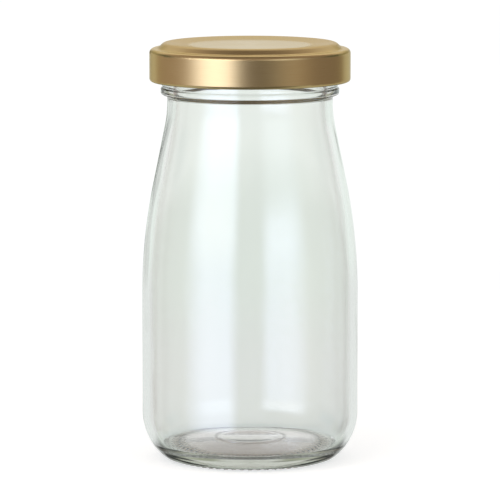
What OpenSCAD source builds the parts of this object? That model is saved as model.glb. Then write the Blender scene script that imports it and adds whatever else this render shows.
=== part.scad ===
// Wide-mouth glass milk bottle with a pressed-metal lug cap and its sealing ring.
// Millimetres, +Z up, origin at the centre of the foot where the bottle stands.

/* [Bottle] */
// Height of the glass from the table to the top of the rim
bottle_h = 116; // [100:1:140]
// Diameter of the straight barrel
body_d = 60.5; // [52:0.5:73]
// Thickness of the glass in the barrel, shoulder and neck
wall = 2.35; // [1.6:0.05:3]
// Height at which the shoulder starts to curve in
shoulder_z = 46; // [36:1:56]
// Steepest slope of the shoulder, as a multiple of its mean slope
shoulder_steepness = 1.56; // [1.3:0.02:1.8]
// Radius of the curve from the shoulder into the neck
neck_curve_r = 34.5; // [20:0.5:45]

/* [Base] */
// Radius of the heel that rounds the barrel under
heel_r = 16; // [12:0.5:20]
// Angle that the heel turns through before the foot takes over
heel_sweep = 49.7; // [40:0.1:60]
// Radius of the foot ring's own rounding
foot_r = 3.15; // [2.6:0.05:3.8]
// Height of the glass floor inside, at its edge
floor_z = 4.5; // [4:0.1:5.6]
// How far the middle of the floor swells up
floor_dome = 1.9; // [0.4:0.1:2.4]
// Radius of the curve between the floor and the inside of the heel
floor_corner_r = 3; // [2:0.5:5]
// Height of the hollow under the base at its middle
punt_h = 3.2; // [2:0.1:4]
// Diameter of the round plug mark in the hollow
plug_d = 18.8; // [14:0.2:24]
// Number of knurls round the foot
knurls = 60; // [40:1:72]
// Height of the foot's rounding above the table, which the knurls bridge
knurl_h = 0.45; // [0.3:0.05:0.6]

/* [Finish] */
// Diameter over the glass threads
thread_d = 52.2; // [44:0.2:62]
// How far the threads stand out from the mouth's wall
thread_depth = 1.6; // [1.2:0.1:2]
// Height of the whole finish, from its bead to the rim
finish_h = 13.4; // [12.8:0.1:15]
// Rise of the thread in one full turn
thread_lead = 16; // [14.5:0.5:18]
// Thickness of each glass thread
thread_w = 1.2; // [0.9:0.1:1.3]
// Angle that each thread runs round the mouth
thread_span = 66; // [50:1:72]

/* [Cap] */
// Thickness of the tinplate
sheet = 0.2; // [0.15:0.01:0.3]
// Radius of the rolled edge at the foot of the skirt
curl_r = 0.85; // [0.7:0.05:0.95]
// Radius of the flat centre panel
panel_r = 17.2; // [12:0.1:19]
// Slope from the panel up to the crown, in degrees
dish_angle = 6; // [3:0.5:9]
// Slope from the crown down to the shoulder step, in degrees
step_angle = 42; // [30:1:50]
// Drop from the crown to the shoulder step
step_drop = 1.65; // [1.4:0.05:1.9]
// Angle that each locking lug spans
lug_span = 20; // [14:1:22]
// How far the lugs reach in from the thread's crest
lug_bite = 1; // [0.7:0.05:1.2]

/* [Sealing ring] */
// Thickness of the sealing compound over the rim
liner_t = 0.85; // [0.6:0.05:1]

/* [Hidden] */
$fn = 180;

starts = 4;                 // threads and lugs round the mouth
run_gap = 0.2;              // lug to thread, along the axis
ring_gap = 0.05;            // sealing ring to glass and to tinplate
bury = 0.7;                 // how deep a thread is rooted in the wall

// Glass finish
thread_r = thread_d / 2;
mouth_r = thread_r - thread_depth;      // wall between the threads
bead_r = mouth_r + 0.4;                 // carrying bead under the threads
neck_r = mouth_r - 1.4;
bore_r = neck_r - wall;
lip_r = mouth_r - 0.5;                  // the rim is a little narrower
lip_round = min(1.1, (lip_r - bore_r) / 2 - 0.2);
bead_z = bottle_h - finish_h;           // underside of the bead
bead_h = 2;
bead_round = 0.7;
bead_fillet = 1;
neck_z = bead_z - 1.8;                  // the neck is straight above this

// Foot and heel
body_r = body_d / 2;
heel_c = [body_r - heel_r, knurl_h + foot_r + (heel_r - foot_r) * sin(heel_sweep)];
foot_c = [heel_c[0] + (heel_r - foot_r) * cos(heel_sweep), knurl_h + foot_r];
foot_inner = 55;                        // how far the foot's rounding runs inwards
punt_edge = [foot_c[0] - foot_r * sin(foot_inner), foot_c[1] - foot_r * cos(foot_inner)];
heel_in_r = heel_r - wall;              // the wall keeps its thickness round the heel
corner_turn = asin((heel_c[1] - floor_z - floor_corner_r) / (heel_in_r - floor_corner_r));
floor_corner = at(heel_c, heel_in_r - floor_corner_r, -corner_turn);
plug_h = 0.5;
knurl_r = 1.6;                          // profile radius of a knurl
knurl_at = foot_c[0] - 1.3;             // the knurls sit on the inner half of the foot
knurl_flat = 0.1;                       // what wear has taken off each knurl
knurl_share = 0.56;                     // width of a knurl over the pitch

// Shoulder: convex arc, straight flank, concave arc into the neck
rise = neck_z - shoulder_z;
slope = shoulder_steepness * atan((body_r - neck_r) / rise);
shoulder_r = ((body_r - neck_r - neck_curve_r * (1 - cos(slope))) * cos(slope)
    - (rise - neck_curve_r * sin(slope)) * sin(slope)) / (cos(slope) - 1);
shoulder_c = [body_r - shoulder_r, shoulder_z];
neck_c = [neck_r + neck_curve_r, neck_z];

// Cap
cap_r = thread_r + 1.75 + sheet;
crown_bend = 1.8;
panel_bend = 1;
step_bend = 0.8;
corner_bend = 1.3;
channel_z = bottle_h + ring_gap + liner_t + ring_gap;  // underside of the crown
cap_top = channel_z + sheet;
step_run = (crown_bend + step_bend) * (1 - cos(step_angle));
step_line = (step_drop - step_run) / sin(step_angle);
shoulder_flat = 0.6;
crown_r = cap_r - corner_bend - shoulder_flat
    - (crown_bend + step_bend) * sin(step_angle) - step_line * cos(step_angle);
dish_line = (crown_r - panel_r - (panel_bend + crown_bend) * sin(dish_angle)) / cos(dish_angle);
dish_drop = (panel_bend + crown_bend) * (1 - cos(dish_angle)) + dish_line * sin(dish_angle);
panel_z = cap_top - dish_drop;
curl_c = [cap_r - curl_r, bottle_h - 8.85];
skirt_top = cap_top - step_drop - corner_bend;
skirt_h = skirt_top - curl_c[1];

// Lugs and threads share one helix
lug_h = 1.3;
lug_z = curl_c[1] - lug_h / 2;
lug_tip_r = thread_r - lug_bite;
thread_low = lug_z + lug_h + run_gap;   // underside of a thread over its lug's low end
helix = atan(thread_lead / (2 * PI * thread_r));
thread_ease = 2.2;                      // angle over which a thread's end runs out
lug_at = 45;                            // first lug, from +X

// ---------- shared shapes ----------

// Point on a circle
function at(c, r, a) = [c[0] + r * cos(a), c[1] + r * sin(a)];

// Part of a disc outside the chord of its arc from a0 to a1, with a little of the
// inside of that chord, so that it overlaps the polygon it is added to or cut from
module segment(c, r, a0, a1) {
    middle = (a0 + a1) / 2;
    out = r * [cos(middle), sin(middle)];
    lap = min(0.2 * r, 0.5);
    intersection() {
        translate(c) circle(r);
        polygon([
            at(c, r, a0),
            at(c, r, a0) + out,
            at(c, r, a1) + out,
            at(c, r, a1),
            at(c, r * cos((a1 - a0) / 2) - lap, middle)
        ]);
    }
}

// Lens between a flat base line of half-width w and an arc that rises h over the axis
module dome(w, h) {
    r = (w * w + h * h) / (2 * h);
    a = acos(w / r);
    segment([0, h - r], r, a, 180 - a);
}

// Bent strip of sheet: outside radius r, turned about c from a0 to a1
module bend(c, r, a0, a1, t = sheet) {
    reach = 3 * r;
    mid = (a0 + a1) / 2;
    intersection() {
        difference() {
            translate(c) circle(r);
            translate(c) circle(r - t);
        }
        polygon([c, at(c, reach, a0), at(c, reach, mid), at(c, reach, a1)]);
    }
}

// ---------- glass bottle ----------

// Outside of the glass up to the neck
module outer_outline() {
    difference() {
        union() {
            polygon([
                [0, knurl_h],
                [foot_c[0], knurl_h],
                at(foot_c, foot_r, -heel_sweep),
                [body_r, heel_c[1]],
                [body_r, shoulder_z],
                at(shoulder_c, shoulder_r, slope),
                at(neck_c, neck_curve_r, 180 + slope),
                [neck_r, neck_z],
                [neck_r, bead_z + 1],
                [0, bead_z + 1]
            ]);
            segment(foot_c, foot_r, -90, -heel_sweep);
            segment(heel_c, heel_r, -heel_sweep, 0);
            segment(shoulder_c, shoulder_r, 0, slope);
        }
        segment(neck_c, neck_curve_r, 180, 180 + slope);
    }
}

// Outside of the mouth: carrying bead, thread wall and rounded rim
module finish_outline() {
    bead_top = bead_z + bead_h;
    fillet_c = [neck_r + bead_fillet, bead_z - bead_fillet];
    difference() {
        union() {
            polygon([
                [0, bead_z - bead_fillet],
                [neck_r, bead_z - bead_fillet],
                [neck_r + bead_fillet, bead_z],
                [bead_r - bead_round, bead_z],
                [bead_r, bead_z + bead_round],
                [bead_r, bead_top - 0.4],
                [mouth_r, bead_top],
                [mouth_r, bottle_h - lip_round - 0.9],
                [lip_r, bottle_h - lip_round],
                [lip_r - lip_round, bottle_h],
                [0, bottle_h]
            ]);
            segment([bead_r - bead_round, bead_z + bead_round], bead_round, -90, 0);
            segment([lip_r - lip_round, bottle_h - lip_round], lip_round, 0, 90);
        }
        segment(fillet_c, bead_fillet, 90, 180);
    }
}

// Hollow inside the glass, open at the top
module cavity_outline() {
    inner_r = body_r - wall;
    difference() {
        union() {
            polygon([
                [0, floor_z],
                [floor_corner[0], floor_z],
                at(floor_corner, floor_corner_r, -corner_turn),
                [inner_r, heel_c[1]],
                [inner_r, shoulder_z],
                at(shoulder_c, shoulder_r - wall, slope),
                at(neck_c, neck_curve_r + wall, 180 + slope),
                [bore_r, neck_z],
                [bore_r, bottle_h - lip_round],
                [bore_r + lip_round, bottle_h],
                [bore_r + lip_round, bottle_h + 1],
                [0, bottle_h + 1]
            ]);
            segment(floor_corner, floor_corner_r, -90, -corner_turn);
            segment(heel_c, heel_in_r, -corner_turn, 0);
            segment(shoulder_c, shoulder_r - wall, 0, slope);
        }
        segment(neck_c, neck_curve_r + wall, 180, 180 + slope);
        segment([bore_r + lip_round, bottle_h - lip_round], lip_round, 90, 180);
        translate([0, floor_z]) dome(floor_corner[0], floor_dome);
    }
}

// Hollow under the base, with the plug mark in its middle
module punt_outline() {
    edge_h = punt_edge[1];
    polygon([[0, -1], [foot_c[0], -1], [foot_c[0], knurl_h], punt_edge, [0, edge_h]]);
    translate([0, edge_h]) dome(punt_edge[0], punt_h - edge_h);
    square([plug_d / 2, punt_h + plug_h]);
}

// One glass thread, rising anticlockwise from its low end at angle 0
module thread() {
    half = thread_span / 2;
    root_r = mouth_r - bury;
    crest_c = thread_r - thread_w / 2;
    middle_z = thread_low + thread_w / 2 + thread_lead * half / 360;
    translate([0, 0, middle_z]) rotate([0, 0, half]) rotate([helix, 0, 0]) intersection() {
        rotate([0, 0, -half]) rotate_extrude(angle = thread_span) {
            translate([root_r, -thread_w / 2]) square([crest_c - root_r, thread_w]);
            translate([crest_c, 0]) circle(thread_w / 2);
        }
        linear_extrude(2 * thread_w, center = true) polygon([
            at([0, 0], root_r, -half),
            at([0, 0], thread_r, thread_ease - half),
            at([0, 0], 1.5 * thread_r, thread_ease - half),
            at([0, 0], 1.5 * thread_r, half - thread_ease),
            at([0, 0], thread_r, half - thread_ease),
            at([0, 0], root_r, half)
        ]);
    }
}

// Short ribs across the foot, which the bottle stands on
module knurl_ring() {
    pitch = 360 / knurls;
    width = pitch * knurl_share;
    difference() {
        for (i = [0 : knurls - 1])
            rotate([0, 0, i * pitch - width / 2]) rotate_extrude(angle = width)
                translate([knurl_at, knurl_r - knurl_flat]) circle(knurl_r);
        translate([0, 0, -1]) cylinder(r = body_r, h = 1);
    }
}

module glass_bottle() {
    color([0.80, 0.88, 0.85, 0.45]) {
        difference() {
            union() {
                rotate_extrude() difference() {
                    union() {
                        outer_outline();
                        finish_outline();
                    }
                    punt_outline();
                }
                knurl_ring();
                for (i = [0 : starts - 1])
                    rotate([0, 0, lug_at - lug_span / 2 + i * 360 / starts]) thread();
            }
            rotate_extrude() cavity_outline();
        }
    }
}

// ---------- cap ----------

// Everything under the cap's outside, or under a surface that far inside it,
// down to the middle of the curl
module cap_outline(inset, foot = 0) {
    crown_c = [crown_r, cap_top - crown_bend];
    panel_c = [panel_r, panel_z + panel_bend];
    step_c = [cap_r - corner_bend - shoulder_flat, cap_top - step_drop + step_bend];
    corner_c = [cap_r - corner_bend, cap_top - step_drop - corner_bend];
    crown = crown_bend - inset;
    panel = panel_bend + inset;
    step = step_bend + inset;
    corner = corner_bend - inset;
    difference() {
        union() {
            polygon([
                [0, curl_c[1] - foot],
                [cap_r - inset, curl_c[1] - foot],
                at(corner_c, corner, 0),
                at(corner_c, corner, 90),
                at(step_c, step, 270),
                at(step_c, step, 270 - step_angle),
                at(crown_c, crown, 90 - step_angle),
                at(crown_c, crown, 90 + dish_angle),
                at(panel_c, panel, dish_angle - 90),
                at(panel_c, panel, -90),
                [0, panel_z - inset]
            ]);
            segment(corner_c, corner, 0, 90);
            segment(crown_c, crown, 90 - step_angle, 90 + dish_angle);
        }
        segment(step_c, step, 270 - step_angle, 270);
        segment(panel_c, panel, -90, dish_angle - 90);
    }
}

// Section of the pressed sheet, rolled into an open curl at the foot of the skirt
module cap_section() {
    difference() {
        cap_outline(0);
        cap_outline(sheet, 1);
    }
    bend(curl_c, curl_r, 180, 360);
    bend(curl_c, curl_r, 60, 180);
}

// Locking lug pressed in from the curl
module lug() {
    nose = lug_h / 2;
    rotate([0, 0, -lug_span / 2]) rotate_extrude(angle = lug_span) {
        translate([lug_tip_r + nose, lug_z]) square([curl_c[0] - lug_tip_r - nose, lug_h]);
        translate([lug_tip_r + nose, lug_z + nose]) circle(nose);
    }
}

module cap_shell() {
    color([0.78, 0.62, 0.33]) {
        rotate_extrude() cap_section();
        for (i = [0 : starts - 1]) rotate([0, 0, lug_at + i * 360 / starts]) lug();
    }
}

// ---------- sealing ring ----------

// Ring of soft compound that fills the channel under the crown
module sealing_ring() {
    color([0.93, 0.92, 0.88]) rotate_extrude() intersection() {
        cap_outline(sheet + ring_gap);
        translate([bore_r + 0.15, bottle_h + ring_gap])
            square([lip_r - bore_r + 0.55, liner_t + 1]);
    }
}

glass_bottle();
cap_shell();
sealing_ring();
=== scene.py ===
import math

import bpy
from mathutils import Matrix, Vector, noise


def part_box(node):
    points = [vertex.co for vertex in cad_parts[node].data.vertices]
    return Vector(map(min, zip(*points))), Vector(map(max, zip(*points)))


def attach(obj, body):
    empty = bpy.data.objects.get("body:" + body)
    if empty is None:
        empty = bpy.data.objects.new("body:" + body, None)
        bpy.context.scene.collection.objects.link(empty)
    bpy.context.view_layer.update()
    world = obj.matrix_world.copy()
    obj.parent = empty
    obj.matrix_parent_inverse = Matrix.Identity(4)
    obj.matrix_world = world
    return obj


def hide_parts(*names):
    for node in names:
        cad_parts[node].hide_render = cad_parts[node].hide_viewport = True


# All sizes are real millimetres and degrees, and become metres when a mesh or a node is made.
# Azimuth 0 is the front of the bottle (-Y) and grows towards +X.

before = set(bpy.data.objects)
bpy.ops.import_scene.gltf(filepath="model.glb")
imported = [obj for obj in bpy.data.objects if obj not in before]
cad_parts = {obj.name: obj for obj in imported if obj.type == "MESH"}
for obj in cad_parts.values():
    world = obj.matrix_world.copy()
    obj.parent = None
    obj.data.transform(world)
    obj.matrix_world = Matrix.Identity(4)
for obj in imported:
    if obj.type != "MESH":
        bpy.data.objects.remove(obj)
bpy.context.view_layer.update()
millimetre = 0.001

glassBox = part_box("glass_bottle")
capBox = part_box("cap_shell")
bottleHeight = glassBox[1].z / millimetre
barrelRadius = glassBox[1].x / millimetre
capRadius = capBox[1].x / millimetre
print("frame loaded: bottle", round(bottleHeight, 2), "mm high, cap", round(2 * capRadius, 2), "mm across")


def linearColour(hexValue, level=1.0):
    # sRGB hex string to the linear colour that Blender's sockets hold, brighter or darker by level
    channels = [int(hexValue[i : i + 2], 16) / 255 for i in (1, 3, 5)]
    linear = [c / 12.92 if c <= 0.04045 else ((c + 0.055) / 1.055) ** 2.4 for c in channels]
    return (*[c * level for c in linear], 1.0)


def addNode(tree, kind, settings=None):
    # each setting is an attribute of the node, a socket's value, or the socket that feeds it
    node = tree.nodes.new(kind)
    for key, value in (settings or {}).items():
        if isinstance(key, str) and hasattr(node, key):
            setattr(node, key, value)
        elif isinstance(value, bpy.types.NodeSocket):
            tree.links.new(value, node.inputs[key])
        else:
            node.inputs[key].default_value = value
    return node


def layered(tree, base, *layers):
    # lays each (share, colour) over what is below it, where a colour is a linear one or a socket
    for share, colour in layers:
        settings = {"data_type": "RGBA", "Factor": share, 6: base, 7: colour}
        base = addNode(tree, "ShaderNodeMix", settings).outputs[2]
    return base


def patternWithBump(tree, place, look, strength, depth):
    # a noise pattern, and the bumps that it raises by up to depth
    pattern = addNode(tree, "ShaderNodeTexNoise", {"Vector": place, **look}).outputs["Fac"]
    relief = {"Height": pattern, "Strength": strength, "Distance": depth * millimetre}
    return pattern, addNode(tree, "ShaderNodeBump", relief).outputs["Normal"]


def newMaterial(name):
    material = bpy.data.materials.new(name)
    material.use_nodes = True
    material.node_tree.nodes.clear()
    return material, material.node_tree


def newPiece(name, vertices, faces, material):
    mesh = bpy.data.meshes.new(name)
    mesh.from_pydata([Vector(v) * millimetre for v in vertices], [], faces)
    mesh.validate()
    mesh.shade_smooth()
    mesh.materials.append(material)
    piece = bpy.data.objects.new(name, mesh)
    bpy.context.scene.collection.objects.link(piece)
    return piece


def arc(centre, radius, start, end, steps):
    # points on a circle of the cross-section, both ends included
    angles = [math.radians(start + (end - start) * i / steps) for i in range(steps + 1)]
    return [(centre[0] + radius * math.cos(a), centre[1] + radius * math.sin(a)) for a in angles]


def between(first, last, steps):
    # points on a straight line, without its two ends
    return [
        (first[0] + (last[0] - first[0]) * i / steps, first[1] + (last[1] - first[1]) * i / steps)
        for i in range(1, steps)
    ]


def smooth(x):
    x = min(max(x, 0.0), 1.0)
    return x * x * (3 - 2 * x)


bottle = dict(
    wall=2.35,
    shoulderFrom=46.0,
    shoulderSlope=11.6,
    neckRadius=23.1,
    neckTop=100.8,
    neckCurve=34.5,
    heelRadius=16.0,
    heelSweep=49.7,
    footRadius=3.15,
    footInner=55.0,
    knurls=60,
    knurlHeight=0.45,
    knurlRadius=1.6,
    knurlIn=1.3,
    knurlFlat=0.1,
    knurlShare=0.56,
    knurlEdge=0.1,
    puntHeight=3.2,
    plugRadius=9.4,
    plugDepth=0.5,
    floor=4.5,
    floorDome=1.9,
    floorCorner=3.0,
    beadFrom=102.6,
    beadHeight=2.0,
    beadRadius=24.9,
    beadRound=0.7,
    beadFillet=1.0,
    mouthRadius=24.5,
    lipRadius=24.0,
    lipRound=1.1,
    lipPlain=0.9,  # height below the lip's rounding that holds no thread
    edgeRound=0.3,
    cornerRound=0.2,
    threads=4,
    threadDepth=1.6,
    threadWidth=1.5,
    threadLead=16.0,
    threadSpan=66.0,
    threadEase=7.0,
    threadStart=35.0,
    threadHeight=108.6,
    columns=300,
    seamAt=15.0,
    seamHeight=0.05,
    seamHalf=0.3,  # degrees
    seamColumns=(-0.35, -0.15, 0.15, 0.35),
    ripple=0.06,
    rippleTall=60.0,
    rippleScale=2.2,
    rippleFineScale=6.0,
)


def bottleRows():
    # The cross-section from the middle of the base, up the outside and down the inside to the floor's middle.
    # Each row is (radius, height, region).
    b = bottle
    rows = []

    def extend(points, region):
        rows.extend((r, z, region) for r, z in points)

    heelSweep, footInner = math.radians(b["heelSweep"]), math.radians(b["footInner"])
    heelInset = b["heelRadius"] - b["footRadius"]
    footMiddle = (
        barrelRadius - b["heelRadius"] + heelInset * math.cos(heelSweep),
        b["knurlHeight"] + b["footRadius"],
    )
    heelMiddle = (barrelRadius - b["heelRadius"], footMiddle[1] + heelInset * math.sin(heelSweep))
    puntEdge = (
        footMiddle[0] - b["footRadius"] * math.sin(footInner),
        footMiddle[1] - b["footRadius"] * math.cos(footInner),
    )
    domeRise = b["puntHeight"] - puntEdge[1]
    domeRadius = (puntEdge[0] ** 2 + domeRise ** 2) / (2 * domeRise)

    def domeAt(r):
        return b["puntHeight"] - domeRadius + math.sqrt(domeRadius ** 2 - r * r)

    # the punt and its plug mark
    soft = b["edgeRound"]
    plugTop = b["puntHeight"] + b["plugDepth"]
    plugEdge = b["plugRadius"] + soft
    dome = [plugEdge + (puntEdge[0] - plugEdge) * k / 10 for k in range(1, 10)]
    extend([(b["plugRadius"] * k / 5, plugTop) for k in range(5)], "punt")
    extend(arc((b["plugRadius"] - soft, plugTop - soft), soft, 90, 10, 4), "punt")
    extend(arc((plugEdge, domeAt(plugEdge) + soft), soft, 190, 270, 4), "punt")
    extend([(r, domeAt(r)) for r in dome], "punt")
    extend(arc(footMiddle, b["footRadius"], -90 - b["footInner"], -b["heelSweep"], 24), "foot")
    extend(arc(heelMiddle, b["heelRadius"], -b["heelSweep"], 0, 26)[1:], "heel")

    # barrel, shoulder and neck: two arcs with a straight line between them
    slope = math.radians(b["shoulderSlope"])
    inward = barrelRadius - b["neckRadius"] - b["neckCurve"] * (1 - math.cos(slope))
    upward = b["neckTop"] - b["shoulderFrom"] - b["neckCurve"] * math.sin(slope)
    shoulderRadius = (inward * math.cos(slope) - upward * math.sin(slope)) / (math.cos(slope) - 1)
    shoulderMiddle = (barrelRadius - shoulderRadius, b["shoulderFrom"])
    neckMiddle = (b["neckRadius"] + b["neckCurve"], b["neckTop"])
    shoulder = arc(shoulderMiddle, shoulderRadius, 0, b["shoulderSlope"], 22)
    neck = arc(neckMiddle, b["neckCurve"], 180 + b["shoulderSlope"], 180, 10)
    extend(between((barrelRadius, heelMiddle[1]), (barrelRadius, b["shoulderFrom"]), 6), "body")
    extend(shoulder, "body")
    extend(between(shoulder[-1], neck[0], 7), "body")
    extend(neck, "body")

    # carrying bead, mouth and lip
    corner = b["cornerRound"]
    filletMiddle = (b["neckRadius"] + b["beadFillet"], b["beadFrom"] - b["beadFillet"])
    beadMiddle = (b["beadRadius"] - b["beadRound"], b["beadFrom"] + b["beadRound"])
    beadTop = b["beadFrom"] + b["beadHeight"]
    lipMiddle = (b["lipRadius"] - b["lipRound"], bottleHeight - b["lipRound"])
    threadsTop = lipMiddle[1] - b["lipPlain"]
    boreRadius = b["neckRadius"] - b["wall"]
    extend(arc(filletMiddle, b["beadFillet"], 180, 90, 5), "neck")
    extend(arc(beadMiddle, b["beadRound"], -90, 0, 6), "neck")
    extend(arc((b["beadRadius"] - soft, beadTop - soft), soft, 0, 80, 4), "neck")
    extend(arc((b["mouthRadius"] + corner, beadTop + corner), corner, 260, 180, 3), "neck")
    extend(between((b["mouthRadius"], beadTop + corner), (b["mouthRadius"], threadsTop), 50), "thread")
    extend([(b["mouthRadius"], threadsTop)], "lip")
    extend(arc(lipMiddle, b["lipRound"], 0, 90, 7), "lip")
    extend(arc((boreRadius + b["lipRound"], lipMiddle[1]), b["lipRound"], 90, 180, 7), "lip")

    # the inside, down to the domed floor
    innerNeck = arc(neckMiddle, b["neckCurve"] + b["wall"], 180, 180 + b["shoulderSlope"], 9)
    innerShoulder = arc(shoulderMiddle, shoulderRadius - b["wall"], b["shoulderSlope"], 0, 18)
    heelInside = b["heelRadius"] - b["wall"]
    floorRound = b["floorCorner"]
    cornerTurn = math.asin((heelMiddle[1] - b["floor"] - floorRound) / (heelInside - floorRound))
    floorEdge = (
        heelMiddle[0] + (heelInside - floorRound) * math.cos(cornerTurn),
        b["floor"] + floorRound,
    )
    cornerTurn = math.degrees(cornerTurn)
    shares = [k / 12 for k in range(11, -1, -1)]
    floorRows = [(floorEdge[0] * share, b["floor"] + b["floorDome"] * (1 - share ** 2)) for share in shares]
    extend(between((boreRadius, lipMiddle[1]), innerNeck[0], 6), "inside")
    extend(innerNeck, "inside")
    extend(between(innerNeck[-1], innerShoulder[0], 7), "inside")
    extend(innerShoulder, "inside")
    extend(between(innerShoulder[-1], (innerShoulder[-1][0], heelMiddle[1]), 14), "inside")
    extend(arc(heelMiddle, heelInside, 0, -cornerTurn, 12), "inside")
    extend(arc(floorEdge, floorRound, -cornerTurn, -90, 12)[1:], "inside")
    extend(floorRows, "floor")
    return rows, footMiddle


def threadOut(angle, z):
    # how far a glass thread stands out of the mouth's wall at this angle from +X and height
    b = bottle
    out = 0.0
    for start in range(b["threads"]):
        along = (angle - b["threadStart"] - start * 360 / b["threads"]) % 360
        if along > b["threadSpan"]:
            continue
        middle = b["threadHeight"] + b["threadLead"] * along / 360
        across = abs(z - middle) / (b["threadWidth"] / 2)
        if across >= 1:
            continue
        end = min(along, b["threadSpan"] - along) / b["threadEase"]
        out = max(out, b["threadDepth"] * math.sqrt(1 - across ** 2) * smooth(end))
    return out


def knurlOut(angle, footAngle):
    # how far the foot's surface moves out from its own rounding, measured from the rounding's centre
    b = bottle
    away = Vector((-b["knurlIn"], b["knurlRadius"] - b["knurlFlat"] - b["knurlHeight"] - b["footRadius"]))
    along = away.dot(Vector((math.cos(math.radians(footAngle)), math.sin(math.radians(footAngle)))))
    inside = along ** 2 - away.length_squared + b["knurlRadius"] ** 2
    if inside <= 0:
        return 0.0
    reach = along + math.sqrt(inside)
    phase = (angle * b["knurls"] / 360 + 0.5) % 1 - 0.5
    share = smooth((b["knurlShare"] / 2 + b["knurlEdge"] / 2 - abs(phase)) / b["knurlEdge"])
    return max(0.0, reach - b["footRadius"]) * share


def joinRings(low, high):
    # faces between two rings, where one may be a single point or have two columns for each of the other's
    n, m = min(len(low), len(high)), max(len(low), len(high))
    after = [(i + 1) % n for i in range(n)]
    if len(low) == 1:
        return [(low[0], high[(i + 1) % m], high[i]) for i in range(m)]
    if len(high) == 1:
        return [(low[i], low[(i + 1) % m], high[0]) for i in range(m)]
    if n == m:
        return [(low[i], low[after[i]], high[after[i]], high[i]) for i in range(n)]
    pairs = [(2 * i, 2 * i + 1, (2 * i + 2) % m) for i in range(n)]
    if len(low) < len(high):
        return [(low[i], low[after[i]], high[c], high[d], high[a]) for i, (a, d, c) in enumerate(pairs)]
    return [(low[a], low[d], low[c], high[after[i]], high[i]) for i, (a, d, c) in enumerate(pairs)]


def makeGlassBottle(material):
    b = bottle
    rows, footMiddle = bottleRows()
    seams = [(b["seamAt"] - 90) % 360, (b["seamAt"] + 90) % 360]
    coarse = [360 * i / b["columns"] for i in range(b["columns"])]
    coarse = sorted(coarse + [(seam + d) % 360 for seam in seams for d in b["seamColumns"]])
    fine = []
    for angle, following in zip(coarse, coarse[1:] + [360 + coarse[0]]):
        fine += [angle, (angle + following) / 2]

    vertices = []
    rings = []
    for r, z, region in rows:
        if r == 0:
            rings.append([len(vertices)])
            vertices.append((0, 0, z))
            continue
        ring = []
        for angle in fine if region == "foot" else coarse:
            outR, outZ = r, z
            x, y = math.cos(math.radians(angle)), math.sin(math.radians(angle))
            if region == "foot":
                footAngle = math.degrees(math.atan2(z - footMiddle[1], r - footMiddle[0]))
                move = knurlOut(angle, footAngle)
                outR += move * math.cos(math.radians(footAngle))
                outZ = max(0.0, outZ + move * math.sin(math.radians(footAngle)))
            elif region == "thread":
                outR += threadOut(angle, z)
            elif region == "inside":
                # slow waves where the glass cooled against air
                way = Vector((x, y, z / b["rippleTall"]))
                fineWave = noise.noise(way * b["rippleFineScale"] + Vector((7, 3, 1)))
                outR += b["ripple"] * (noise.noise(way * b["rippleScale"]) + 0.5 * fineWave)
            if region in ("body", "heel", "neck"):
                away = min(abs((angle - seam + 180) % 360 - 180) for seam in seams)
                if away < b["seamHalf"]:
                    outR += b["seamHeight"] * (1 - away / b["seamHalf"])
            ring.append(len(vertices))
            vertices.append((outR * x, outR * y, outZ))
        rings.append(ring)

    faces = []
    for low, high in zip(rings, rings[1:]):
        faces += joinRings(low, high)
    return newPiece("glassBottle", vertices, faces, material)


# Soda-lime flint glass, blown in an iron mould. Clear, with a grey-green body that deepens in the thick heel,
# and faint waves from the cold mould.
flintGlass = dict(
    body="#b0b6a3",
    density=20.0,
    ior=1.52,
    roughness=0.0,
    waveWidth=14.0,
    waveStrength=0.05,
    waveDepth=0.5,
)


def makeFlintGlass():
    g = flintGlass
    material, tree = newMaterial("flintGlassMouldBlown")
    place = addNode(tree, "ShaderNodeTexCoord").outputs["Object"]
    look = {"Scale": 1 / (g["waveWidth"] * millimetre), "Detail": 1.0, "Roughness": 0.4}
    relief = patternWithBump(tree, place, look, g["waveStrength"], g["waveDepth"])[1]
    shader = addNode(
        tree,
        "ShaderNodeBsdfPrincipled",
        {
            "Base Color": linearColour("#ffffff"),
            "Roughness": g["roughness"],
            "IOR": g["ior"],
            "Transmission Weight": 1.0,
            "Normal": relief,
        },
    )
    body = {"Color": linearColour(g["body"]), "Density": g["density"]}
    inside = addNode(tree, "ShaderNodeVolumeAbsorption", body)
    result = {"Surface": shader.outputs["BSDF"], "Volume": inside.outputs["Volume"]}
    addNode(tree, "ShaderNodeOutputMaterial", result)
    return material


glassBottle = makeGlassBottle(makeFlintGlass())
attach(glassBottle, "bottle")
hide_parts("glass_bottle")
print("glass bottle:", len(glassBottle.data.polygons), "faces")


# Tinplate, roller-coated with a gold lacquer and cured. Satin, with a fine grain that runs round the cap. The
# real grain is about 0.02 mm wide, and is drawn wider so that it shows.
goldLacquer = dict(
    bright="#dac28f",
    deep="#cdac76",
    edge="#dcd4b0",
    skirtRoughness=0.3,
    crownRoughness=0.42,
    panelRoughness=0.2,
    panelRadius=17.2,
    panelEdge=0.8,
    crownRadius=25.0,
    crownEdge=1.5,
    glossSpread=0.05,
    brushed=0.35,
    coat=0.24,
    coatRoughness=0.12,
    grainWidth=0.12,
    grainLength=9.0,
    grainDepth=0.012,
    grainStrength=0.25,
)


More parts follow.
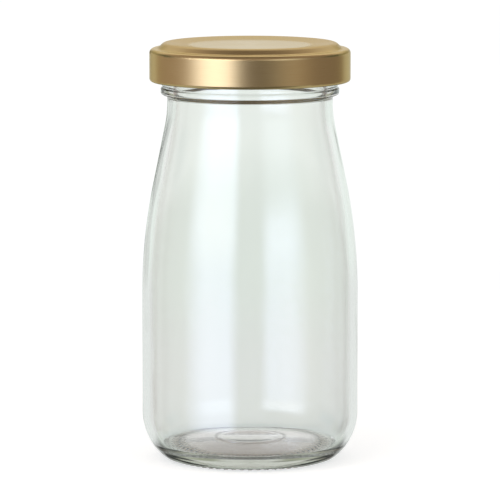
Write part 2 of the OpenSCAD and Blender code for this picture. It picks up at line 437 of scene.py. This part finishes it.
def makeGoldLacquer():
    g = goldLacquer
    material, tree = newMaterial("goldLacqueredTinplate")
    place = addNode(tree, "ShaderNodeTexCoord").outputs["Object"]
    x, y, z = addNode(tree, "ShaderNodeSeparateXYZ", {"Vector": place}).outputs
    flat = addNode(tree, "ShaderNodeCombineXYZ", {"X": x, "Y": y}).outputs["Vector"]
    radius = addNode(tree, "ShaderNodeVectorMath", {"operation": "LENGTH", 0: flat}).outputs["Value"]

    # the grain is laid out along the turn and across it
    turn = addNode(tree, "ShaderNodeMath", {"operation": "ARCTAN2", 0: y, 1: x}).outputs["Value"]
    out = addNode(tree, "ShaderNodeMath", {"operation": "SUBTRACT", 0: radius, 1: z}).outputs["Value"]
    grainPlace = addNode(tree, "ShaderNodeCombineXYZ")
    scales = {"X": (turn, capRadius / g["grainLength"]), "Y": (out, 1 / (g["grainWidth"] * millimetre))}
    for axis, (value, scale) in scales.items():
        spaced = addNode(tree, "ShaderNodeMath", {"operation": "MULTIPLY", 0: value, 1: scale})
        tree.links.new(spaced.outputs["Value"], grainPlace.inputs[axis])
    look = {"Scale": 1.0, "Detail": 3.0, "Roughness": 0.6}
    grain, relief = patternWithBump(
        tree, grainPlace.outputs["Vector"], look, g["grainStrength"], g["grainDepth"]
    )

    # the flat panel keeps more of the sheet's mill gloss than the drawn metal round it
    spread = {"Value": grain, "To Min": -g["glossSpread"], "To Max": g["glossSpread"]}
    gloss = addNode(tree, "ShaderNodeMapRange", spread).outputs["Result"]
    for middle, edge, inner, outer in (
        (g["panelRadius"], g["panelEdge"], g["panelRoughness"], g["crownRoughness"]),
        (g["crownRadius"], g["crownEdge"], 0.0, g["skirtRoughness"] - g["crownRoughness"]),
    ):
        zone = addNode(
            tree,
            "ShaderNodeMapRange",
            {
                "interpolation_type": "SMOOTHSTEP",
                "Value": radius,
                "From Min": (middle - edge) * millimetre,
                "From Max": (middle + edge) * millimetre,
                "To Min": inner,
                "To Max": outer,
            },
        ).outputs["Result"]
        gloss = addNode(tree, "ShaderNodeMath", {"operation": "ADD", 0: gloss, 1: zone}).outputs["Value"]

    tangent = addNode(tree, "ShaderNodeTangent", {"direction_type": "RADIAL", "axis": "Z"})
    shader = addNode(
        tree,
        "ShaderNodeBsdfPrincipled",
        {
            "Base Color": layered(tree, linearColour(g["deep"]), (grain, linearColour(g["bright"]))),
            "Metallic": 1.0,
            "Roughness": gloss,
            "Specular Tint": linearColour(g["edge"]),
            "Anisotropic": g["brushed"],
            "Coat Weight": g["coat"],
            "Coat Roughness": g["coatRoughness"],
            "Normal": relief,
            "Tangent": tangent.outputs["Tangent"],
        },
    )
    addNode(tree, "ShaderNodeOutputMaterial", {"Surface": shader.outputs["BSDF"]})
    return material


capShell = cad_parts["cap_shell"]
capShell.material_slots[0].material = makeGoldLacquer()
print("cap finished")


# PVC plastisol, flowed into the cap and fluxed. Off-white and matt, with a fine orange peel.
plastisol = dict(
    colour="#ece7d8",
    shade="#ddd6c4",
    roughness=0.55,
    ior=1.53,
    mottle=3.0,
    peel=0.35,
    peelDepth=0.05,
    peelStrength=0.3,
)


def makePlastisol():
    p = plastisol
    material, tree = newMaterial("plastisolFluxed")
    place = addNode(tree, "ShaderNodeTexCoord").outputs["Object"]
    mottleLook = {"Vector": place, "Scale": 1 / (p["mottle"] * millimetre), "Detail": 2.0}
    mottle = addNode(tree, "ShaderNodeTexNoise", mottleLook).outputs["Fac"]
    peelLook = {"Scale": 1 / (p["peel"] * millimetre), "Detail": 1.0}
    relief = patternWithBump(tree, place, peelLook, p["peelStrength"], p["peelDepth"])[1]
    shader = addNode(
        tree,
        "ShaderNodeBsdfPrincipled",
        {
            "Base Color": layered(tree, linearColour(p["shade"]), (mottle, linearColour(p["colour"]))),
            "Roughness": p["roughness"],
            "IOR": p["ior"],
            "Normal": relief,
        },
    )
    addNode(tree, "ShaderNodeOutputMaterial", {"Surface": shader.outputs["BSDF"]})
    return material


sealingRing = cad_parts["sealing_ring"]
sealingRing.material_slots[0].material = makePlastisol()
print("sealing ring finished")


# A pale studio. Each panel and flag covers its azimuths and elevations and fades over soft and rim. Those in
# acrossBack lie on both sides alike.
studio = dict(
    panels=dict(
        warmWall=dict(azimuth=(36, 70), soft=(14, 14), elevation=(-40, 0), rim=4, level=0.44, tint="#ffeedd"),
        keyPanel=dict(
            azimuth=(-63, -18), soft=(17, 8), elevation=(-21, 24), rim=8, level=3.1, tint="#d8e1ff"
        ),
        keyTop=dict(azimuth=(-63, -18), soft=(17, 8), elevation=(3, 24), rim=6, level=3.5, tint="#ebf1ff"),
        fillPanel=dict(azimuth=(20, 60), soft=(12, 12), elevation=(2, 30), rim=7, level=1.25, tint="#eef6ff"),
    ),
    flags=dict(
        leftEdge=dict(
            azimuth=(-162, -150), soft=(1.5, 1.5), elevation=(-7.5, 2), rim=1, level=0.8, tint="#e8ece8"
        ),
        outline=dict(
            azimuth=(-171, -159), soft=(3, 3), elevation=(-3.8, 5), rim=0.9, level=0.22, tint="#f0f4f0"
        ),
    ),
    acrossBack=dict(
        side=dict(azimuth=(98, 130), soft=(4, 4), elevation=(8, 22), rim=2.5, level=1.0, tint="#2f5550"),
        footVeil=dict(
            azimuth=(132, 166), soft=(3, 5), elevation=(5.5, 20), rim=2.0, level=1.0, tint="#babdaa"
        ),
    ),
    roomTint="#fff0e8",
    leftLevel=0.45,
    rightLevel=0.28,
    sideEdge=10.0,
    front=dict(half=62.0, top=14.0, edge=6.0, level=0.19, tint="#f0e8e8"),
    ceilingTint="#ffeae0",
    cove=dict(start=38.0, edge=12.0, level=0.38),
    ceiling=dict(start=63.0, edge=5.0, level=0.16),
    backdrop=dict(half=46.0, edge=6.0, top=70.0, topEdge=12.0),
    lowPaper="#e8ecea",
    middlePaper=dict(start=-6.3, edge=1.8, tint="#eff7f2"),
    upperPaper=dict(start=1.5, edge=3.0, tint="#ffffff"),
    table=dict(top=-23.0, edge=5.0, tint="#6c6e6c", beside=(70, 146), besideEdge=6.0, besideTint="#d0d8d0"),
    opening=dict(half=58.0, edge=6.0),
    darkRoom="#4d6461",
    sweep="#f6fdf8",
    sweepLevel=1.05,
    roomLight=0.46,
)


def softRegion(tree, *limits):
    # 1 where each value lies between its low and its high, falling smoothly to 0 over the edges
    # each limit is (value, low, high, edge or two edges), and None leaves an end open
    share = None
    for value, low, high, *edges in limits:
        for end, edge, before, after in ((low, edges[0], 0.0, 1.0), (high, edges[-1], 1.0, 0.0)):
            if end is None:
                continue
            settings = {
                "interpolation_type": "SMOOTHSTEP",
                "Value": value,
                "From Min": end - edge,
                "From Max": end + edge,
                "To Min": before,
                "To Max": after,
            }
            step = addNode(tree, "ShaderNodeMapRange", settings).outputs["Result"]
            if share is not None:
                both = {"operation": "MULTIPLY", 0: share, 1: step}
                step = addNode(tree, "ShaderNodeMath", both).outputs["Value"]
            share = step
    return share


def bearings(tree, way):
    # azimuth in degrees from the front, the same without its sign, and the height of a direction or place
    x, y, z = addNode(tree, "ShaderNodeSeparateXYZ", {"Vector": way}).outputs
    towards = addNode(tree, "ShaderNodeMath", {"operation": "MULTIPLY", 0: y, 1: -1.0}).outputs["Value"]
    turn = addNode(tree, "ShaderNodeMath", {"operation": "ARCTAN2", 0: x, 1: towards}).outputs["Value"]
    azimuth = addNode(tree, "ShaderNodeMath", {"operation": "DEGREES", 0: turn}).outputs["Value"]
    aside = addNode(tree, "ShaderNodeMath", {"operation": "ABSOLUTE", 0: azimuth}).outputs["Value"]
    return azimuth, aside, z


def rayKinds(tree):
    # camera rays, all rays that a person would see by, and rays that met a mirroring surface on their way
    rays = addNode(tree, "ShaderNodeLightPath").outputs
    seen = rays["Is Camera Ray"]
    for kind in ("Is Glossy Ray", "Is Transmission Ray"):
        either = {"operation": "MAXIMUM", 0: seen, 1: rays[kind]}
        seen = addNode(tree, "ShaderNodeMath", either).outputs["Value"]
    once = {"operation": "GREATER_THAN", 0: rays["Glossy Depth"], 1: 0.5}
    mirrored = addNode(tree, "ShaderNodeMath", once).outputs["Value"]
    return rays["Is Camera Ray"], seen, mirrored


def makeWorld():
    s = studio
    world = bpy.data.worlds.new("studioRoom")
    bpy.context.scene.world = world
    world.use_nodes = True
    tree = world.node_tree
    tree.nodes.clear()
    way = addNode(tree, "ShaderNodeTexCoord").outputs["Generated"]
    azimuth, aside, height = bearings(tree, way)
    lift = addNode(tree, "ShaderNodeMath", {"operation": "ARCSINE", 0: height}).outputs["Value"]
    elevation = addNode(tree, "ShaderNodeMath", {"operation": "DEGREES", 0: lift}).outputs["Value"]

    def hung(panel, bearing):
        reach = (bearing, *panel["azimuth"], *panel["soft"])
        share = softRegion(tree, reach, (elevation, *panel["elevation"], panel["rim"]))
        return share, linearColour(panel["tint"], panel["level"])

    def raised(part, colour):
        return softRegion(tree, (elevation, part["start"], None, part["edge"])), colour

    front, backdrop, table, opening = s["front"], s["backdrop"], s["table"], s["opening"]
    leftSide = softRegion(tree, (azimuth, None, 0, s["sideEdge"]))
    ahead = (aside, None, front["half"], front["edge"])
    walls = layered(
        tree,
        linearColour(s["roomTint"], s["rightLevel"]),
        (leftSide, linearColour(s["roomTint"], s["leftLevel"])),
        (
            softRegion(tree, ahead, (elevation, None, front["top"], front["edge"])),
            linearColour(front["tint"], front["level"]),
        ),
        *[hung(panel, azimuth) for panel in s["panels"].values()],
        *[raised(part, linearColour(s["ceilingTint"], part["level"])) for part in (s["cove"], s["ceiling"])],
    )
    paper = layered(
        tree,
        linearColour(s["lowPaper"]),
        *[raised(part, linearColour(part["tint"])) for part in (s["middlePaper"], s["upperPaper"])],
    )
    # the table top shows dark in the steep undersides of the bead and the foot
    beside = softRegion(tree, (aside, *table["beside"], table["besideEdge"]))
    tableTop = layered(tree, linearColour(table["tint"]), (beside, linearColour(table["besideTint"])))
    behind = (aside, 180 - backdrop["half"], None, backdrop["edge"])
    room = layered(
        tree,
        walls,
        (softRegion(tree, behind, (elevation, None, backdrop["top"], backdrop["topEdge"])), paper),
        *[hung(flag, azimuth) for flag in s["flags"].values()],
        *[hung(flag, aside) for flag in s["acrossBack"].values()],
        (softRegion(tree, (elevation, None, table["top"], table["edge"])), tableTop),
    )

    cameraRay, seen, mirrored = rayKinds(tree)
    sweepShown = softRegion(tree, (aside, 180 - opening["half"], None, opening["edge"]))
    through = layered(tree, linearColour(s["darkRoom"]), (sweepShown, linearColour(s["sweep"])))
    shown = layered(tree, through, (mirrored, room), (cameraRay, linearColour("#ffffff")))
    light = layered(tree, linearColour("#ffffff", s["roomLight"]), (seen, shown))
    background = addNode(tree, "ShaderNodeBackground", {"Color": light})
    addNode(tree, "ShaderNodeOutputWorld", {"Surface": background.outputs["Background"]})


floorPaper = dict(
    radius=6000.0,
    drop=0.02,
    sides=64,
    colour="#ece4dd",
    farShare=0.02,
    farLevel=1.02,
    glow=0.66,
    glowDirect="#fafdff",
    glowThrough="#c3d5d5",
    # painted shadow: the paper's dark warm tone under the bottle, seen through the glass
    paintedShadowUnder="#5a4b3e",
    far="#ecf5ee",
    shade=(19.0, 27.0),
    nearTo=(150.0, 400.0),
    sweepFrom=(620.0, 960.0),
    # painted shade: grey bands on the paper that darken the glass's edges seen through it
    paintedWallShade=dict(azimuth=(74, 132), edge=6, depth=0.2, fromTo=(28, 60), goneBy=(450, 850)),
    paintedEdgeShade=dict(azimuth=(-152, -139), edge=4, depth=0.24, fromTo=(55, 110), goneBy=(230, 520)),
)


def makeFloor():
    f = floorPaper
    material, tree = newMaterial("paleFloor")
    place = addNode(tree, "ShaderNodeTexCoord").outputs["Object"]
    azimuth, aside = bearings(tree, place)[:2]
    away = addNode(tree, "ShaderNodeVectorMath", {"operation": "LENGTH", 0: place}).outputs["Value"]

    def ramp(low, high, first=0.0, last=1.0):
        ends = {"From Min": low * millimetre, "From Max": high * millimetre, "To Min": first, "To Max": last}
        settings = {"interpolation_type": "SMOOTHSTEP", "Value": away, **ends}
        return addNode(tree, "ShaderNodeMapRange", settings).outputs["Result"]

    cameraRay, seen, mirrored = rayKinds(tree)
    far = ramp(*f["nearTo"])
    # near the bottle the paper is a plain sheet that takes its shadow, far from it an even white sweep
    sheet = layered(tree, linearColour(f["colour"]), (far, linearColour(f["colour"], f["farShare"])))
    farWhite = linearColour("#ffffff", f["farLevel"])
    direct = layered(tree, linearColour(f["glowDirect"], f["glow"]), (far, farWhite))
    bright = linearColour(studio["sweep"], studio["sweepLevel"])
    sweep = layered(tree, linearColour(f["far"]), (ramp(*f["sweepFrom"]), bright))
    through = layered(tree, linearColour(f["glowThrough"], f["glow"]), (far, sweep))

    # painted shade: grey bands painted on the paper, seen only through the glass, draw the edges of the glass
    for flag, bearing in ((f["paintedWallShade"], aside), (f["paintedEdgeShade"], azimuth)):
        band = softRegion(tree, (bearing, *flag["azimuth"], flag["edge"]))
        for part in (ramp(*flag["fromTo"]), ramp(*flag["goneBy"], flag["depth"], 0.0)):
            both = {"operation": "MULTIPLY", 0: band, 1: part}
            band = addNode(tree, "ShaderNodeMath", both).outputs["Value"]
        through = layered(tree, through, (band, linearColour("#000000")))
    # painted shadow: under the bottle a dark warm tone stands for the light that comes through the base
    through = layered(tree, linearColour(f["paintedShadowUnder"]), (ramp(*f["shade"]), through))
    tone = layered(tree, through, (cameraRay, direct))

    matt = addNode(tree, "ShaderNodeBsdfDiffuse", {"Color": sheet}).outputs["BSDF"]
    light = addNode(tree, "ShaderNodeEmission", {"Color": tone, "Strength": seen}).outputs["Emission"]
    paper = addNode(tree, "ShaderNodeAddShader", {0: matt, 1: light}).outputs["Shader"]
    # mirroring surfaces look past the paper into the room
    clear = addNode(tree, "ShaderNodeBsdfTransparent").outputs["BSDF"]
    shader = addNode(tree, "ShaderNodeMixShader", {0: mirrored, 1: paper, 2: clear})
    addNode(tree, "ShaderNodeOutputMaterial", {"Surface": shader.outputs["Shader"]})

    turns = [2 * math.pi * i / f["sides"] for i in range(f["sides"])]
    ring = [(f["radius"] * math.cos(a), f["radius"] * math.sin(a), -f["drop"]) for a in turns]
    newPiece("floor", ring, [tuple(range(f["sides"]))], material)


lamps = dict(
    keyLamp=dict(azimuth=-40, elevation=50, distance=1800, size=1100, watts=5.0),
    fillLamp=dict(azimuth=50, elevation=42, distance=1800, size=1100, watts=2.5),
)


def makeLamp(name, azimuth, elevation, distance, size, watts):
    data = bpy.data.lights.new(name, "AREA")
    data.shape = "RECTANGLE"
    data.size = size * millimetre
    data.size_y = size * millimetre
    data.energy = watts
    lamp = bpy.data.objects.new(name, data)
    a, e = math.radians(azimuth), math.radians(elevation)
    way = Vector((math.sin(a) * math.cos(e), -math.cos(a) * math.cos(e), math.sin(e)))
    lamp.location = way * distance * millimetre
    lamp.rotation_euler = (-way).to_track_quat("-Z", "Y").to_euler()
    lamp.visible_camera = False
    lamp.visible_glossy = False
    lamp.visible_transmission = False
    bpy.context.scene.collection.objects.link(lamp)


view = dict(distance=1220.5, height=213.9, aim=58.8, lens=316.2, sensor=36)


def makeCamera():
    data = bpy.data.cameras.new("camera")
    data.lens = view["lens"]
    data.sensor_width = view["sensor"]
    camera = bpy.data.objects.new("camera", data)
    camera.location = Vector((0, -view["distance"], view["height"])) * millimetre
    way = Vector((0, 0, view["aim"])) * millimetre - camera.location
    camera.rotation_euler = way.to_track_quat("-Z", "Y").to_euler()
    bpy.context.scene.collection.objects.link(camera)
    bpy.context.scene.camera = camera


makeWorld()
makeFloor()
for lampName, lampLook in lamps.items():
    makeLamp(lampName, **lampLook)
makeCamera()
bpy.context.scene.view_settings.view_transform = "Standard"
# rays cross many glass surfaces on their way through the bottle
bpy.context.scene.cycles.max_bounces = 24
bpy.context.scene.cycles.transmission_bounces = 24
bpy.context.scene.cycles.glossy_bounces = 12
bpy.context.scene.cycles.transparent_max_bounces = 24
print("studio ready")
